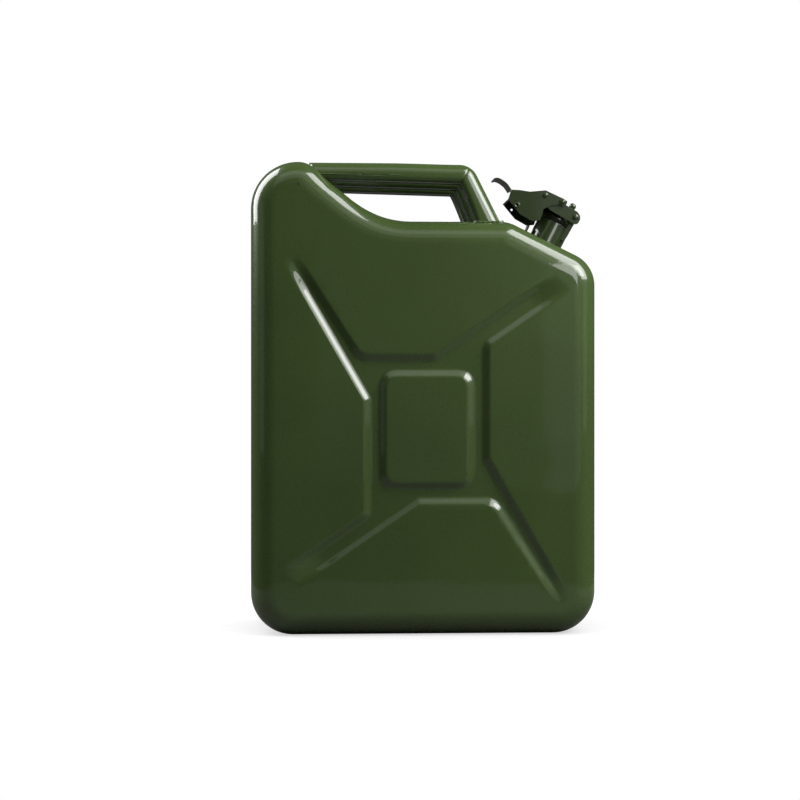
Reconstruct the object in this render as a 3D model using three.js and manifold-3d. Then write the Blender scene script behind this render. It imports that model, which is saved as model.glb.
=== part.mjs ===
// A 20 litre steel jerry can with three carrying handles and a cam-lever closure.
// Millimetres, +Z up. Origin: centre of the base. Front broad face towards -Y, filler neck towards +X.
// The can is two pressed half shells that meet at y = 0 in a recessed seam.

import * as THREE from "three";
import { ConvexGeometry } from "three/addons/geometries/ConvexGeometry.js";
import { mergeVertices } from "three/addons/utils/BufferGeometryUtils.js";
import Module from "manifold-3d";

const wasm = await Module();
wasm.setup();

// ---- driving dimensions ----

const HEIGHT = 470;
const HALF_WIDTH = 171.8;
const HALF_DEPTH = 82.5;
const SHEET = 1;
const GAP = 0.3;
const SEAM_GAP = 0.15;

const BASE_CORNER = 42;
const TOP_CORNER = 47;
const SHOULDER_CORNER = 34;
const SHOULDER_CORNER_Z = 347.5;
const SHOULDER_SLOPE = THREE.MathUtils.degToRad(26);
const SHOULDER_START = 91.5;
const SADDLE_Z = 411.2;

const EDGE_INSET = 24;
const EDGE_START = 58.5;
const EDGE_STEPS = 4;
const OUTLINE_STEPS = 6;
const GUTTER_DEPTH = 7;
const GUTTER_HALF = 5;
const GUTTER_LIP = 10;

const PATTERN_X = 2;
const PATTERN_Z = 204;
const GROOVE_DEPTH = 4.2;
const GROOVE_SLOPE = 3.5;
const PLATEAU = { halfX: 43.8, halfZ: 55.6, corner: 14 };
const CHANNEL = { halfX: 58.7, halfZ: 70.7, corner: 9 };

const HANDLE_WIDTH = 27;
const HANDLE_SHEET = 2;
const HANDLE_SPACING = 52;

const NECK_X = 125;
const NECK_DROP = 4.9;
const NECK_TILT = SHOULDER_SLOPE + THREE.MathUtils.degToRad(1);
const NECK_SCALE = 0.94;
const NECK_R = 18.6;
const NECK_BORE = 17.1;
const NECK_TOP = 34.3;
const NECK_BOTTOM = -14;

const HINGE = { s: 15.4, n: 47.8, pin: 1.9, barrel: 3.3 };
const BRACKET_HALF = 14;
const BRACKET_SHEET = 2;
const LEVER = { s: -4.9, n: 55.8, pin: 2, boss: 5.2 };
const CARRIER_HALF = 24.2;
const CARRIER_SHEET = 1.5;
const CARRIER_TOP = 54.9;
const CARRIER_END = -18.4;
const LEVER_HALF = 26.4;
const LEVER_SHEET = 1.8;
const EYELET = { s: -47.4, n: 30 };
const RIVET = { s: -25, n: 53.6 };
const LID_R = 18.5;
const LID_LOW = 36.8;
const LID_TOP = 41.5;

const COLOURS = { paint: 0x333d22, rubber: 0x161616, steel: 0x8d8f8c };

// ---- solids and booleans ----

function toSolid(geometry) {
  const bare = geometry.clone();
  bare.deleteAttribute("normal");
  bare.deleteAttribute("uv");
  const merged = mergeVertices(bare, 1e-4);
  const mesh = new wasm.Mesh({
    numProp: 3,
    vertProperties: new Float32Array(merged.attributes.position.array),
    triVerts: new Uint32Array(merged.index.array),
  });
  return new wasm.Manifold(mesh);
}

function toGeometry(solid) {
  const mesh = solid.getMesh();
  const geometry = new THREE.BufferGeometry();
  geometry.setAttribute("position", new THREE.BufferAttribute(mesh.vertProperties, 3));
  geometry.setIndex(new THREE.BufferAttribute(mesh.triVerts, 1));
  geometry.computeVertexNormals();
  return geometry;
}

function union(solids) {
  return solids.reduce((sum, next) => sum.add(next));
}

function box(lowX, highX, lowY, highY, lowZ, highZ) {
  const geometry = new THREE.BoxGeometry(highX - lowX, highY - lowY, highZ - lowZ);
  geometry.translate((lowX + highX) / 2, (lowY + highY) / 2, (lowZ + highZ) / 2);
  return toSolid(geometry);
}

// A round bar along Z, from low to high.
function postSolid(radius, low, high, x = 0, y = 0, sides = 32) {
  const geometry = new THREE.CylinderGeometry(radius, radius, high - low, sides);
  geometry.rotateX(Math.PI / 2);
  geometry.translate(x, y, (low + high) / 2);
  return toSolid(geometry);
}

// A round bar along Y between low and high, centred on (x, z).
function pinSolid(radius, low, high, x, z, sides = 16) {
  const geometry = new THREE.CylinderGeometry(radius, radius, high - low, sides);
  geometry.translate(x, (low + high) / 2, z);
  return toSolid(geometry);
}

// An outline in the XZ plane, extruded along Y between low and high.
function plateSolid(outline, low, high, segments = 10) {
  const geometry = new THREE.ExtrudeGeometry(outline, {
    depth: high - low,
    bevelEnabled: false,
    curveSegments: segments,
  });
  geometry.rotateX(Math.PI / 2);
  geometry.translate(0, high, 0);
  return toSolid(geometry);
}

function polygon(points) {
  return new THREE.Shape(points.map(([x, z]) => new THREE.Vector2(x, z)));
}

// A solid of revolution about Z, from [radius, z] points that close on themselves.
function turned(points, sides = 32) {
  const profile = points.map(([radius, z]) => new THREE.Vector2(radius, z));
  const geometry = new THREE.LatheGeometry(profile, sides);
  geometry.rotateX(Math.PI / 2);
  return toSolid(geometry);
}

// A closed loft: each ring is a list of Vector3 with the same count; the two ends are flat.
function loft(rings) {
  const count = rings[0].length;
  const positions = rings.flat().flatMap((point) => point.toArray());
  const index = [];
  for (let ring = 0; ring + 1 < rings.length; ring += 1) {
    for (let i = 0; i < count; i += 1) {
      const next = (i + 1) % count;
      const a = ring * count + i;
      const b = ring * count + next;
      index.push(a, b, b + count, a, b + count, a + count);
    }
  }
  const lastRing = (rings.length - 1) * count;
  const capEnds = [[rings[0], 0, true], [rings.at(-1), lastRing, false]];
  for (const [ring, start, flip] of capEnds) {
    const flat = ring.map((point) => new THREE.Vector2(point.x, point.z));
    for (const [a, b, c] of THREE.ShapeUtils.triangulateShape(flat, [])) {
      index.push(start + a, start + (flip ? c : b), start + (flip ? b : c));
    }
  }
  const geometry = new THREE.BufferGeometry();
  geometry.setAttribute("position", new THREE.Float32BufferAttribute(positions, 3));
  geometry.setIndex(index);
  return toSolid(geometry);
}

// Moves every point of a counter-clockwise outline inwards by a distance.
function inset(points, distance) {
  return points.map((point, i) => {
    const before = points[(i + points.length - 1) % points.length];
    const after = points[(i + 1) % points.length];
    const first = point.clone().sub(before).normalize();
    const second = after.clone().sub(point).normalize();
    const normalSum = new THREE.Vector2(-first.y - second.y, first.x + second.x);
    const scale = distance / (1 + first.dot(second));
    return point.clone().addScaledVector(normalSum, scale);
  });
}

// ---- the can ----

// The height of the straight sloping shoulder at x.
function shoulderHeight(x) {
  const endX = HALF_WIDTH - SHOULDER_CORNER * (1 - Math.sin(SHOULDER_SLOPE));
  const endZ = SHOULDER_CORNER_Z + SHOULDER_CORNER * Math.cos(SHOULDER_SLOPE);
  return endZ + (endX - x) * Math.tan(SHOULDER_SLOPE);
}

function canOutline() {
  const right = HALF_WIDTH;
  const shape = new THREE.Shape();
  shape.moveTo(-right + BASE_CORNER, 0);
  shape.lineTo(right - BASE_CORNER, 0);
  shape.absarc(right - BASE_CORNER, BASE_CORNER, BASE_CORNER, -Math.PI / 2, 0);
  const cornerX = right - SHOULDER_CORNER;
  const shoulderTurn = Math.PI / 2 - SHOULDER_SLOPE;
  shape.absarc(cornerX, SHOULDER_CORNER_Z, SHOULDER_CORNER, 0, shoulderTurn);
  const startZ = shoulderHeight(SHOULDER_START);
  shape.lineTo(SHOULDER_START, startZ);
  const crest = SHOULDER_START - (SADDLE_Z - startZ) / Math.tan(SHOULDER_SLOPE);
  shape.quadraticCurveTo(crest, SADDLE_Z, 2 * crest - SHOULDER_START, SADDLE_Z);
  shape.lineTo(-12, SADDLE_Z);
  shape.bezierCurveTo(-52, SADDLE_Z, -71.5, 432.6, -92, 448.5);
  shape.bezierCurveTo(-103, 457, -110, HEIGHT, -right + TOP_CORNER, HEIGHT);
  shape.absarc(-right + TOP_CORNER, HEIGHT - TOP_CORNER, TOP_CORNER, Math.PI / 2, Math.PI);
  shape.absarc(-right + BASE_CORNER, BASE_CORNER, BASE_CORNER, Math.PI, 1.5 * Math.PI);
  const points = shape.getPoints(OUTLINE_STEPS);
  return points.filter((point, i) => point.distanceTo(points.at(i - 1)) > 0.01);
}

// The section from the seam to the broad face: [inset from the outline, distance from y = 0].
function edgeProfile(withGutter) {
  const profile = withGutter
    ? [[GUTTER_DEPTH, SEAM_GAP], [GUTTER_DEPTH, GUTTER_HALF], [1, GUTTER_LIP - 1.6], [0, GUTTER_LIP]]
    : [[0, SEAM_GAP]];
  for (let step = 0; step <= EDGE_STEPS; step += 1) {
    const angle = (step / EDGE_STEPS) * (Math.PI / 2);
    const across = EDGE_INSET * (1 - Math.cos(angle));
    const out = EDGE_START + (HALF_DEPTH - EDGE_START) * Math.sin(angle);
    profile.push([across, out]);
  }
  return profile.map(([across, out]) => new THREE.Vector2(across, out));
}

// The same section moved by a distance towards the inside of the can.
function thickened(profile, distance) {
  return profile.map((point, i) => {
    const before = profile[Math.max(i - 1, 0)];
    const after = profile[Math.min(i + 1, profile.length - 1)];
    const along = after.clone().sub(before).normalize();
    return new THREE.Vector2(point.x + along.y * distance, point.y - along.x * distance);
  });
}

// One half of the can as a full solid, towards -Y.
function halfSolid(profile) {
  const outline = canOutline();
  const rings = profile.map(({ x: across, y: out }) =>
    inset(outline, across).map((point) => new THREE.Vector3(point.x, -out, point.y)));
  return loft(rings);
}

function innerProfile() {
  const profile = thickened(edgeProfile(true), SHEET);
  profile[0].y = -SEAM_GAP;
  profile.at(-1).y = HALF_DEPTH - SHEET;
  return profile;
}

// A block with sloping walls between two outlines, cut into the broad face from outside.
function slopedCut(corners, floorCorners, depth, grow) {
  const overshoot = 1;
  const wide = GROOVE_SLOPE * (1 + (2 * overshoot) / depth) + grow;
  const top = inset(corners, -wide);
  const floor = inset(floorCorners, GROOVE_SLOPE - grow);
  const face = -HALF_DEPTH - overshoot;
  const points = [
    ...top.map((point) => new THREE.Vector3(point.x, face, point.y)),
    ...floor.map((point) => new THREE.Vector3(point.x, -HALF_DEPTH + depth, point.y)),
  ];
  const geometry = new ConvexGeometry(points);
  geometry.translate(PATTERN_X, 0, PATTERN_Z);
  return toSolid(geometry);
}

function vectors(pairs) {
  return pairs.map(([x, z]) => new THREE.Vector2(x, z));
}

function roundedRectangle({ halfX, halfZ, corner }) {
  const shape = new THREE.Shape();
  const cx = halfX - corner;
  const cz = halfZ - corner;
  shape.absarc(cx, cz, corner, 0, Math.PI / 2);
  shape.absarc(-cx, cz, corner, Math.PI / 2, Math.PI);
  shape.absarc(-cx, -cz, corner, Math.PI, 1.5 * Math.PI);
  shape.absarc(cx, -cz, corner, 1.5 * Math.PI, 2 * Math.PI);
  const points = shape.getPoints(4);
  return points.filter((point, i) => point.distanceTo(points.at(i - 1)) > 0.01);
}

// The four corners of an arm: two at its root by the centre, then two at its tip, where it fades out.
const STEEP_ARM = [[-50, 44.7], [-130.3, 170], [-140, 170], [-50, 13.4]];
const STEEP_FLARE = [[-50, 62], [-60.5, 70.7], [-73.7, 81.7], [-80, 72], [-50, 30]];
const LOW_ARM = [[30, 64.6], [140, 139.8], [127, 151.7], [-4.7, 62]];
const LOW_FLARE = [[30, 62], [54, 62], [58.5, 77.7], [66, 89.2], [55, 90]];
const TIP_FADE = 0.3;

function armCut(arm, depth, grow) {
  const corners = vectors(arm);
  const [rootA, tipA, tipB, rootB] = corners;
  const floor = [
    rootA,
    tipA.clone().lerp(rootA, TIP_FADE),
    tipB.clone().lerp(rootB, TIP_FADE),
    rootB,
  ];
  return slopedCut(corners, floor, depth, grow);
}

// The X-shaped recess round the raised centre panel.
function crossRecess(depth, grow) {
  const cuts = [];
  for (const turn of [1, -1]) {
    const turnAll = (list) => list.map(([x, z]) => [turn * x, turn * z]);
    cuts.push(armCut(turnAll(STEEP_ARM), depth, grow));
    cuts.push(armCut(turnAll(LOW_ARM), depth, grow));
    const flares = [vectors(turnAll(STEEP_FLARE)).reverse(), vectors(turnAll(LOW_FLARE))];
    for (const flare of flares) {
      cuts.push(slopedCut(flare, flare, depth, grow));
    }
  }
  const channel = roundedRectangle(CHANNEL);
  cuts.push(slopedCut(channel, channel, depth, grow));
  const plateau = roundedRectangle(PLATEAU);
  const rings = [
    [-HALF_DEPTH - 3, GROOVE_SLOPE * (1 + 6 / depth)],
    [-HALF_DEPTH + depth + 3, -GROOVE_SLOPE * (1 + 6 / depth)],
  ].map(([y, across]) => inset(plateau, across + grow).map((point) =>
    new THREE.Vector3(point.x + PATTERN_X, y, point.y + PATTERN_Z)));
  return union(cuts).subtract(loft(rings.reverse()));
}

// From the neck's own axes (s down the shoulder, n along the neck) to can axes.
// The closure is drawn round a 36 mm neck and reduced to this can's neck.
function neckMatrix() {
  const place = new THREE.Matrix4().makeTranslation(NECK_X, 0, shoulderHeight(NECK_X) - NECK_DROP);
  const tilt = new THREE.Matrix4().makeRotationY(NECK_TILT);
  const size = new THREE.Matrix4().makeScale(NECK_SCALE, NECK_SCALE, NECK_SCALE);
  return place.multiply(tilt).multiply(size);
}

function shellGeometry() {
  const outer = halfSolid(edgeProfile(true)).subtract(crossRecess(GROOVE_DEPTH, 0));
  const inner = halfSolid(innerProfile()).subtract(crossRecess(GROOVE_DEPTH + SHEET, SHEET));
  const neckHole = toSolid(toGeometry(postSolid(NECK_R + 0.4, -30, 30)).applyMatrix4(neckMatrix()));
  return toGeometry(outer.subtract(inner).subtract(neckHole));
}

function mirrored(geometry) {
  const copy = geometry.clone();
  copy.scale(1, -1, 1);
  const index = copy.index.array;
  for (let i = 0; i < index.length; i += 3) {
    [index[i + 1], index[i + 2]] = [index[i + 2], index[i + 1]];
  }
  copy.computeVertexNormals();
  return copy;
}

// ---- handles: folded channels, open underneath ----

function handleGeometry() {
  const outside = polygon([
    [-126, HEIGHT], [-126, 452], [26, 448.4], [32, 446.5], [39.8, 428.6], [42.8, 418.7],
    [47.8, 403.8], [53, 391], [82.1, 391], [46.5, 461.4], [42.5, 466.2], [35, 467.8], [-20, HEIGHT],
  ]);
  const inside = polygon([
    [-140, HEIGHT - HANDLE_SHEET], [-140, 430], [8, 430], [28, 381], [84.9, 381],
    [44.3, 460.8], [41.4, 464.3], [34.6, 465.8], [-20, HEIGHT - HANDLE_SHEET],
  ]);
  const half = HANDLE_WIDTH / 2;
  const innerHalf = half - HANDLE_SHEET;
  return plateSolid(outside, -half, half).subtract(plateSolid(inside, -innerHalf, innerHalf));
}

function handle(offset) {
  const plainHalf = halfSolid(thickened(edgeProfile(false), -GAP));
  const plainBody = plainHalf.add(toSolid(mirrored(toGeometry(plainHalf))))
    .add(halfSlab());
  const placed = handleGeometry().translate([0, offset, 0]);
  const pieces = placed.subtract(plainBody).decompose();
  const largest = pieces.sort((a, b) => b.volume() - a.volume())[0];
  return toGeometry(largest);
}

// Bridges the seam between the two plain halves.
function halfSlab() {
  const outline = inset(canOutline(), -GAP);
  return plateSolid(new THREE.Shape(outline), -1, 1);
}

// ---- neck and closure, in the neck's own axes ----

function neckTube() {
  return turned([
    [NECK_BORE, NECK_BOTTOM], [NECK_R, NECK_BOTTOM], [NECK_R, NECK_TOP - 0.8],
    [NECK_R - 0.5, NECK_TOP], [NECK_BORE + 0.3, NECK_TOP], [NECK_BORE, NECK_TOP - 0.8],
    [NECK_BORE, NECK_BOTTOM],
  ]);
}

function neckSaddle() {
  return box(-28, 26, -26, 26, 5.5, 7.2).subtract(postSolid(NECK_R + GAP, 0, 10));
}

function latchCatch() {
  const foot = box(-27.4, -19, -9, 9, 7.5, 9.1);
  const leaf = box(-25.7, -23.1, -9, 9, 7.5, 19.3);
  return foot.add(leaf);
}

// Two ears welded to the flanks of the neck, joined by the barrel that holds the hinge pin.
function hingeBracket() {
  const arm = polygon([
    [11, 20], [17, 20], [17.8, 26], [18.5, HINGE.n - 2], [HINGE.s, HINGE.n + HINGE.barrel],
    [HINGE.s - HINGE.barrel, HINGE.n], [13.4, 43.5], [13.8, 41], [11, 33],
  ]);
  const ears = [-BRACKET_HALF, BRACKET_HALF - BRACKET_SHEET].map((low) =>
    plateSolid(arm, low, low + BRACKET_SHEET));
  const barrel = pinSolid(HINGE.barrel, -BRACKET_HALF, BRACKET_HALF, HINGE.s, HINGE.n);
  const lidRoom = postSolid(LID_R + GAP, 33, 43);
  return union([...ears, barrel])
    .subtract(postSolid(NECK_R + GAP, 0, NECK_TOP + 1))
    .subtract(lidRoom)
    .subtract(pinSolid(HINGE.pin + GAP, -20, 20, HINGE.s, HINGE.n));
}

function headedPin(radius, half, headRadius, headLength, s, n) {
  return union([
    pinSolid(radius, -half, half, s, n),
    pinSolid(headRadius, -half - headLength, -half, s, n),
    pinSolid(headRadius, half, half + headLength, s, n),
  ]);
}

// A short headed stud through one cheek of the lever into the carrier's cheek.
function leverStud(side) {
  const near = CARRIER_HALF - CARRIER_SHEET;
  const far = LEVER_HALF + GAP;
  const shank = side > 0 ? [near, far] : [-far, -near];
  const head = side > 0 ? [far, far + 1.3] : [-far - 1.3, -far];
  return pinSolid(LEVER.pin, ...shank, LEVER.s, LEVER.n)
    .add(pinSolid(3.4, ...head, LEVER.s, LEVER.n));
}

function lidCarrier() {
  const cheek = polygon([
    [-17, 43.5], [-12.6, 41.8], [18.4, 40.6], [20.6, 42], [21.3, 45], [21.1, 48.2], [19.4, 51.4],
    [15, 54], [-2, CARRIER_TOP], [CARRIER_END, CARRIER_TOP], [CARRIER_END, 45],
  ]);
  const inner = CARRIER_HALF - CARRIER_SHEET;
  const cheeks = [[-CARRIER_HALF, -inner], [inner, CARRIER_HALF]].flatMap(([low, high]) => [
    plateSolid(cheek, low, high),
    pinSolid(LEVER.boss - 1, low, high, LEVER.s, LEVER.n),
  ]);
  const roofHalf = CARRIER_HALF - 0.5;
  const roof = box(CARRIER_END, 12.5, -roofHalf, roofHalf, CARRIER_TOP - 1.8, CARRIER_TOP);
  return union([...cheeks, roof])
    .subtract(pinSolid(HINGE.pin + GAP, -30, 30, HINGE.s, HINGE.n))
    .subtract(pinSolid(LEVER.pin + GAP, -30, 30, LEVER.s, LEVER.n))
    .subtract(postSolid(3.2, 45, 60, 0, 0, 20))
    .subtract(postSolid(2.3, 45, 60, 9.5, 0, 20));
}

function carrierKnob() {
  return turned([
    [0, 51.6], [4.4, 51.6], [4.4, 52.8], [2, 52.8], [2, CARRIER_TOP + GAP], [4.4, CARRIER_TOP + GAP],
    [4.4, 56], [2.2, 56.2], [3.4, 58.4], [3.8, 60.3], [3.3, 62.3], [1.9, 63.6], [0, 64],
  ], 20);
}

// The lever: a hood of one bent sheet, with a curled finger tab at its free end.
function leverHood() {
  const side = polygon([
    [-59, 31], [-39.6, 22.6], [-24.5, 22], [-17.5, 26.5], [-18.5, 34], [-19.8, 39],
    [-13.5, 46.8], [-7.6, 51.4], [LEVER.s + 3.7, LEVER.n - 3.7], [LEVER.s + LEVER.boss, LEVER.n],
    [-1.3, 57.8], [-4.4, 59.4], [-26.8, 58.6], [-41.5, 49.4], [-52, 45.9], [-60.6, 42],
  ]);
  const hollow = polygon([
    [-57.2, 10], [10, 10], [10, 62], [-10.4, 62], [-10.4, 57.4], [-26.3, 56.8],
    [-40.9, 47.6], [-51.4, 44.1], [-58.7, 41], [-57.2, 31],
  ]);
  const inner = LEVER_HALF - LEVER_SHEET;
  const hood = plateSolid(side, -LEVER_HALF, LEVER_HALF).subtract(plateSolid(hollow, -inner, inner));
  const tab = plateSolid(polygon([
    [-59.6, 41.8], [-62, 43.4], [-67, 46], [-72.6, 47.3], [-77.6, 47.4], [-79.9, 46.5], [-81.3, 44.5],
    [-82.7, 45.7], [-80.8, 48.1], [-78, 49.3], [-72.2, 49.2], [-66.2, 47.9], [-60.6, 45], [-58, 43.5],
  ]), -14, 14);
  return union([hood, tab])
    .subtract(pinSolid(LEVER.pin + GAP, -30, 30, LEVER.s, LEVER.n))
    .subtract(pinSolid(2.2, -30, 30, EYELET.s, EYELET.n, 12))
    .subtract(pinSolid(1.8, -30, 30, RIVET.s, RIVET.n, 12));
}

function leverRivet(side) {
  const outer = LEVER_HALF + 0.25;
  const inner = LEVER_HALF - LEVER_SHEET - 0.25;
  const head = side > 0 ? [outer, outer + 1.3] : [-outer - 1.3, -outer];
  const tail = side > 0 ? [inner - 0.9, inner] : [-inner, -inner + 0.9];
  const shank = side > 0 ? [inner - 0.9, outer + 1] : [-outer - 1, -inner + 0.9];
  return union([
    pinSolid(3, ...head, RIVET.s, RIVET.n, 12),
    pinSolid(2.6, ...tail, RIVET.s, RIVET.n, 12),
    pinSolid(1.4, ...shank, RIVET.s, RIVET.n, 12),
  ]);
}

function leverEyelet(side) {
  const outer = LEVER_HALF + 0.3;
  const span = side > 0 ? [outer, outer + 0.9] : [-outer - 0.9, -outer];
  const inner = LEVER_HALF - LEVER_SHEET;
  const sleeve = side > 0 ? [inner, outer + 0.5] : [-outer - 0.5, -inner];
  return pinSolid(3.1, ...span, EYELET.s, EYELET.n, 12)
    .add(pinSolid(1.9, ...sleeve, EYELET.s, EYELET.n, 12))
    .subtract(pinSolid(1.2, -30, 30, EYELET.s, EYELET.n, 12));
}

function lidCup() {
  return turned([
    [2.7, LID_LOW], [LID_R - 0.5, LID_LOW], [LID_R, LID_LOW + 0.5], [LID_R, LID_TOP - 1.2],
    [LID_R - 1.2, LID_TOP], [6.5, LID_TOP], [5, LID_TOP + 2], [5, 52.3], [2.7, 52.3], [2.7, LID_LOW],
  ]);
}

function lidGasket() {
  return turned([[10.5, 35], [18.1, 35], [18.1, 36.5], [10.5, 36.5], [10.5, 35]]);
}

function gasketRetainer() {
  return turned([[2.7, 34], [9, 34], [10.2, 34.8], [10.2, 36.5], [2.7, 36.5], [2.7, 34]], 28);
}

function lidRivet() {
  return turned([
    [0, 32.6], [4.6, 32.6], [4.6, 33.7], [2.4, 33.7], [2.4, 55.4], [4.8, 55.4], [4.3, 56.5], [0, 56.9],
  ], 20);
}

function breatherTube() {
  const inNeck = [[-11.2, 28], [-11.2, 6], [-11.2, -14], [-13.5, -24]].map(([s, n]) =>
    new THREE.Vector3(s, 0, n).applyMatrix4(neckMatrix()));
  const inCan = [[84, 366], [40, 380], [-30, 384], [-80, 404], [-106, 438]].map(([x, z]) =>
    new THREE.Vector3(x, 0, z));
  const section = new THREE.Shape().absarc(0, 0, 3.6, 0, 2 * Math.PI);
  section.holes.push(new THREE.Path().absarc(0, 0, 2.6, 0, 2 * Math.PI));
  return new THREE.ExtrudeGeometry(section, {
    steps: 20,
    curveSegments: 4,
    extrudePath: new THREE.CatmullRomCurve3([...inNeck, ...inCan]),
  });
}

// ---- assembly ----

function material(colour, roughness, metalness) {
  return new THREE.MeshStandardMaterial({ color: colour, roughness, metalness });
}

function named(name, geometry, colour, roughness = 0.25, metalness = 0) {
  const mesh = new THREE.Mesh(geometry, material(colour, roughness, metalness));
  mesh.name = name;
  return mesh;
}

const can = new THREE.Group();
const front = shellGeometry();
can.add(named("front_shell", front, COLOURS.paint));
can.add(named("rear_shell", mirrored(front), COLOURS.paint));
const handleRows = [["handle_front", -HANDLE_SPACING], ["handle_middle", 0], ["handle_rear", HANDLE_SPACING]];
for (const [name, offset] of handleRows) {
  can.add(named(name, handle(offset), COLOURS.paint));
}
can.add(named("breather_tube", breatherTube(), COLOURS.steel, 0.4, 1));

const closure = new THREE.Group();
closure.position.set(NECK_X, 0, shoulderHeight(NECK_X) - NECK_DROP);
closure.rotation.y = NECK_TILT;
closure.scale.setScalar(NECK_SCALE);
can.add(closure);

const painted = [
  ["neck_tube", neckTube()],
  ["neck_saddle", neckSaddle()],
  ["latch_catch", latchCatch()],
  ["hinge_bracket", hingeBracket()],
  ["lid_carrier", lidCarrier()],
  ["lever", leverHood()],
  ["lid_cup", lidCup()],
];
for (const [name, solid] of painted) {
  closure.add(named(name, toGeometry(solid), COLOURS.paint));
}

const knobMesh = named("carrier_knob", toGeometry(carrierKnob()), COLOURS.paint);
knobMesh.position.x = 9.5;
closure.add(knobMesh);

const metal = [
  ["hinge_pin", headedPin(HINGE.pin, 24.6, 3.2, 1.2, HINGE.s, HINGE.n)],
  ["lever_stud_front", leverStud(-1)],
  ["lever_stud_rear", leverStud(1)],
  ["lever_rivet_front", leverRivet(-1)],
  ["lever_rivet_rear", leverRivet(1)],
  ["lever_eyelet_front", leverEyelet(-1)],
  ["lever_eyelet_rear", leverEyelet(1)],
  ["gasket_retainer", gasketRetainer()],
  ["lid_rivet", lidRivet()],
];
for (const [name, solid] of metal) {
  closure.add(named(name, toGeometry(solid), COLOURS.steel, 0.35, 1));
}
closure.add(named("lid_gasket", toGeometry(lidGasket()), COLOURS.rubber, 0.8));

export default can;
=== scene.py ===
import math
from contextlib import contextmanager

import bmesh
import bpy
import numpy as np
from mathutils import Matrix, Vector
from mathutils.geometry import delaunay_2d_cdt

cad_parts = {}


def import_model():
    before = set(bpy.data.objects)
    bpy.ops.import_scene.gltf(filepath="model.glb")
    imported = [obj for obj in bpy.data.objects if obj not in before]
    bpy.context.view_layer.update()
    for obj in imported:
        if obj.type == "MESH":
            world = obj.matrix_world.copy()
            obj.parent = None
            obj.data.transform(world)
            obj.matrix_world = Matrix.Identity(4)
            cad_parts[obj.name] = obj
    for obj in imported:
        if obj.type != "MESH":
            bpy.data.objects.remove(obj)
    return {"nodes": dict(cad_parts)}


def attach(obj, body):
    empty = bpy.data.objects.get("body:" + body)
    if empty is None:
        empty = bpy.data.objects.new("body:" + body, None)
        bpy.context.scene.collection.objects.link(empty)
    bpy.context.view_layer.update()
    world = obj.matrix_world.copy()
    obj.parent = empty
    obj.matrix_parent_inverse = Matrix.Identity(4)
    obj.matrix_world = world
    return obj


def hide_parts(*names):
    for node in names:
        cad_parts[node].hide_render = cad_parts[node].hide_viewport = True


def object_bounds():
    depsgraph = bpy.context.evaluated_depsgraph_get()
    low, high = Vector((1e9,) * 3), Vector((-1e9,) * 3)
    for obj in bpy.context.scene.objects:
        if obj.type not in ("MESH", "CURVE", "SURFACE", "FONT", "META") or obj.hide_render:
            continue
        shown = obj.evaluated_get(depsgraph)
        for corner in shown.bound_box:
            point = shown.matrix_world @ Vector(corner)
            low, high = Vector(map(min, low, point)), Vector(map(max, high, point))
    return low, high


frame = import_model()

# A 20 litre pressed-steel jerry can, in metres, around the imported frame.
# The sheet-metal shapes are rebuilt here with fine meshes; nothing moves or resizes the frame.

MM = 0.001
cad_low, cad_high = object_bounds()

# ---- driving sizes, in millimetres ----

HALF_WIDTH = cad_high[0] / MM
HALF_DEPTH = cad_high[1] / MM
HEIGHT = cad_high[2] / MM
SHEET = 1.0
SEAM_GAP = 0.15

BASE_CORNER = 42
TOP_CORNER = 47
SHOULDER_CORNER = 34
SHOULDER_CORNER_Z = 347.5
SHOULDER_SLOPE = math.radians(26)
SHOULDER_START = 91.5
SADDLE_Z = 411.2
EDGE_RADIUS = 24
GUTTER_DEPTH = 7
FACE_RIM = 25.5

# The cross pressed in each broad face: its centre, its depth, its walls, and how far from the
# centre the long and the short arms run out.
PATTERN = np.array([2.0, 204.0])
RECESS_DEPTH = 4.2
WALL_WIDTH = 7.0
WALL_FILLET = 1.0
LONG_ARM = 222.0
SHORT_ARM = 202.0

NECK_X = 125.0
NECK_DROP = 4.9
NECK_TILT = SHOULDER_SLOPE + math.radians(1)
NECK_SCALE = 0.94

# The closure, in the neck's own axes before NECK_SCALE: (along the shoulder, up the neck).
NECK_R = 18.6
NECK_BORE = 17.1
LID_R = 18.5
BRACKET_HALF = 14
CARRIER_HALF = 24.2
LEVER_HALF = 26.4
HINGE = (15.4, 47.8)
PIVOT = (-4.9, 55.8)
RIVET = (-25, 53.6)
EYELET = (-47.4, 30)


# ---- outlines ----

def arc(cx, cz, radius, start, end, steps=24):
    angles = np.radians(np.linspace(start, end, steps + 1))
    return np.column_stack([cx + radius * np.cos(angles), cz + radius * np.sin(angles)])


def bezier(points, steps=40):
    t = np.linspace(0, 1, steps + 1)[:, None]
    p = [np.array(point, float) for point in points]
    if len(p) == 3:
        return (1 - t) ** 2 * p[0] + 2 * t * (1 - t) * p[1] + t ** 2 * p[2]
    ends = (1 - t) ** 3 * p[0] + t ** 3 * p[3]
    return ends + 3 * t * (1 - t) ** 2 * p[1] + 3 * t ** 2 * (1 - t) * p[2]


def shoulder_height(x):
    end_x = HALF_WIDTH - SHOULDER_CORNER * (1 - math.sin(SHOULDER_SLOPE))
    end_z = SHOULDER_CORNER_Z + SHOULDER_CORNER * math.cos(SHOULDER_SLOPE)
    return end_z + (end_x - x) * math.tan(SHOULDER_SLOPE)


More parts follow.
